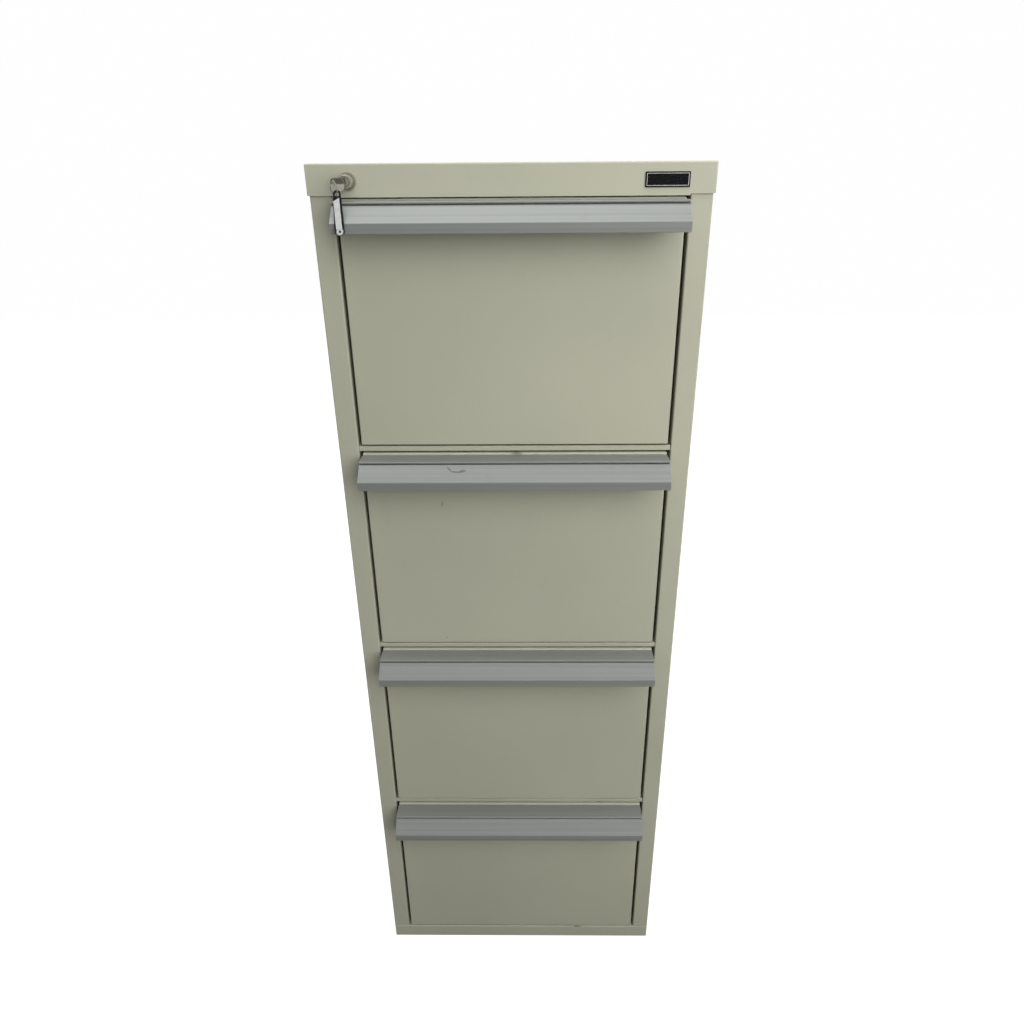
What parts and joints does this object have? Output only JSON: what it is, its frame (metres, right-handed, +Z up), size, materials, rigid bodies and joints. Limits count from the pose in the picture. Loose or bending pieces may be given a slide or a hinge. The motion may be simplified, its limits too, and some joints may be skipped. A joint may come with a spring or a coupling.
{
  "type": "filing cabinet",
  "caption": "Upright steel filing cabinet with sliding drawers, full-width aluminium handles, a push lock and a hanging key tag.",
  "frame": {"origin": "on the floor, at the middle of the whole box, handles and key included", "axes": "+Z up, the drawers open towards -Y, +X to the right as seen from the front"},
  "size_m": [0.4744, 0.6762, 1.32],
  "materials": {
    "painted_steel": "satin powder coat, warm grey-green",
    "anodised_aluminium": "satin anodised, drawn lengthwise",
    "zinc_plate": "bright zinc plate",
    "nickel": "nickel plate, lightly worn",
    "tag_plastic": "black",
    "tag_card": "plain pale grey, no writing",
    "badge_plastic": "black with a plain pale border",
    "nylon": "moulded"
  },
  "bodies": {
    "cabinet": {"top_cover": "painted_steel", "base_pan": "painted_steel", "back_panel": "painted_steel", "top_rail": "painted_steel", "side_panel_left": "painted_steel", "rear_post_left": "zinc_plate", "glide_front_left": "nylon", "glide_rear_left": "nylon", "side_panel_right": "painted_steel", "rear_post_right": "zinc_plate", "glide_front_right": "nylon", "glide_rear_right": "nylon", "outer_runner_1_left": "zinc_plate", "outer_runner_1_right": "zinc_plate", "front_rail_1": "painted_steel", "outer_runner_2_left": "zinc_plate", "outer_runner_2_right": "zinc_plate", "front_rail_2": "painted_steel", "outer_runner_3_left": "zinc_plate", "outer_runner_3_right": "zinc_plate", "front_rail_3": "painted_steel", "outer_runner_4_left": "zinc_plate", "outer_runner_4_right": "zinc_plate", "lock_housing": "nickel", "lock_nut": "zinc_plate", "badge_plate": "badge_plastic"},
    "drawer_1": {"drawer_front_1": "painted_steel", "drawer_tray_1": "painted_steel", "drawer_handle_1": "anodised_aluminium", "inner_runner_1_left": "zinc_plate", "inner_runner_1_right": "zinc_plate"},
    "drawer_2": {"drawer_front_2": "painted_steel", "drawer_tray_2": "painted_steel", "drawer_handle_2": "anodised_aluminium", "inner_runner_2_left": "zinc_plate", "inner_runner_2_right": "zinc_plate"},
    "drawer_3": {"drawer_front_3": "painted_steel", "drawer_tray_3": "painted_steel", "drawer_handle_3": "anodised_aluminium", "inner_runner_3_left": "zinc_plate", "inner_runner_3_right": "zinc_plate"},
    "drawer_4": {"drawer_front_4": "painted_steel", "drawer_tray_4": "painted_steel", "drawer_handle_4": "anodised_aluminium", "inner_runner_4_left": "zinc_plate", "inner_runner_4_right": "zinc_plate"},
    "lock_barrel": {"lock_barrel": "nickel"},
    "lock_plug": {"lock_plug": "nickel", "key": "nickel"},
    "key_ring": {"key_ring": "nickel"},
    "key_tag": {"key_tag": "tag_plastic", "tag_label": "tag_card"},
    "lock_bar": {"lock_bar": "zinc_plate"}
  },
  "joints": [
    {"name": "drawer_1_slide", "type": "slide", "parent": "cabinet", "child": "drawer_1", "axis": [0, -1, 0], "range_m": [0, 0.48]},
    {"name": "drawer_2_slide", "type": "slide", "parent": "cabinet", "child": "drawer_2", "axis": [0, -1, 0], "range_m": [0, 0.48]},
    {"name": "drawer_3_slide", "type": "slide", "parent": "cabinet", "child": "drawer_3", "axis": [0, -1, 0], "range_m": [0, 0.48]},
    {"name": "drawer_4_slide", "type": "slide", "parent": "cabinet", "child": "drawer_4", "axis": [0, -1, 0], "range_m": [0, 0.48]},
    {"name": "lock_push", "type": "slide", "parent": "cabinet", "child": "lock_barrel", "axis": [0, 1, 0], "range_m": [0, 0.01], "stiffness_N_per_m": 400, "springref_m": -0.02},
    {"name": "lock_bar_drop", "type": "slide", "parent": "cabinet", "child": "lock_bar", "axis": [0, 0, -1], "range_m": [0, 0.01]},
    {"name": "key_turn", "type": "hinge", "parent": "lock_barrel", "child": "lock_plug", "pos_m": [-0.188, -0.3043, 1.301], "axis": [0, 1, 0], "range_deg": [0, 90]},
    {"name": "ring_hang", "type": "hinge", "parent": "lock_plug", "child": "key_ring", "pos_m": [-0.1987, -0.3121, 1.3011], "axis": [0, 1, 0], "range_deg": [-90, 0]},
    {"name": "tag_swing", "type": "hinge", "parent": "key_ring", "child": "key_tag", "pos_m": [-0.19486, -0.31668, 1.28829], "axis": [-1, 0, 0], "range_deg": [0, 14.5]}
  ],
  "couplings": [
    {"joint": "lock_bar_drop", "follows": "lock_push", "ratio": 1},
    {"joint": "ring_hang", "follows": "key_turn", "ratio": -1},
    {"joint": "tag_swing", "follows": "lock_push", "rad_per_m": 25.307}
  ]
}
